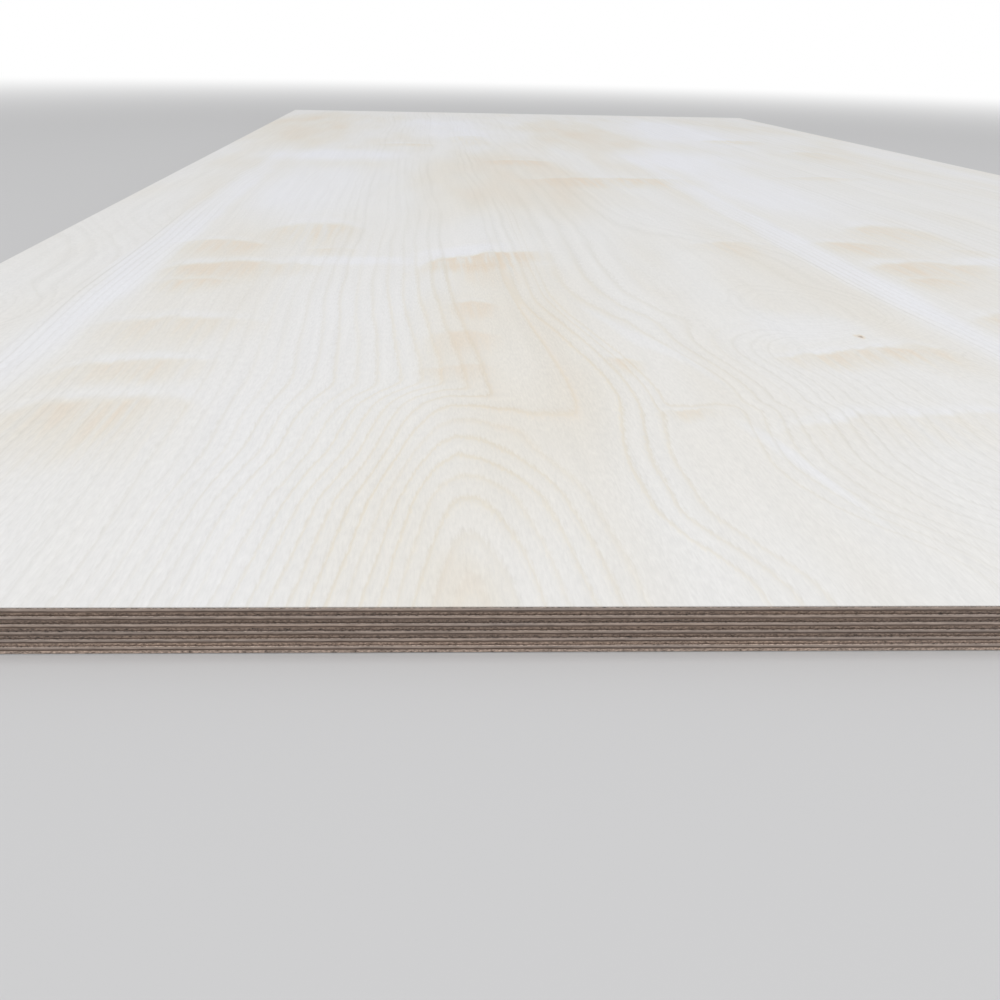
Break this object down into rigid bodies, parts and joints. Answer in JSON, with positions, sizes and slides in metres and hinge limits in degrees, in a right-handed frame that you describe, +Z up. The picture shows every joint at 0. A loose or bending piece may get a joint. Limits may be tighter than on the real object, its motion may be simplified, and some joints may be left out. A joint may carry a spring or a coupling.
{
  "type": "plywood sheet",
  "caption": "Full-size birch plywood sheet, lying flat: thin veneers glued with crossed grain, a pale sanded face, a banded edge and square trimmed corners.",
  "frame": {"origin": "centre of the sheet's underside", "axes": "+X across the sheet's width, +Y along its length and its face grain, +Z up out of the face"},
  "size_m": [1.22, 2.44, 0.0178],
  "materials": {
    "birch_face": "matte",
    "birch_crossband": "matte",
    "birch_longband": "matte",
    "birch_back": "matte"
  },
  "bodies": {
    "root": {"face_veneer": "birch_face", "crossband_1": "birch_crossband", "longband_1": "birch_longband", "crossband_2": "birch_crossband", "longband_2": "birch_longband", "crossband_3": "birch_crossband", "longband_3": "birch_longband", "crossband_4": "birch_crossband", "longband_4": "birch_longband", "crossband_5": "birch_crossband", "longband_5": "birch_longband", "crossband_6": "birch_crossband", "back_veneer": "birch_back"}
  },
  "joints": []
}
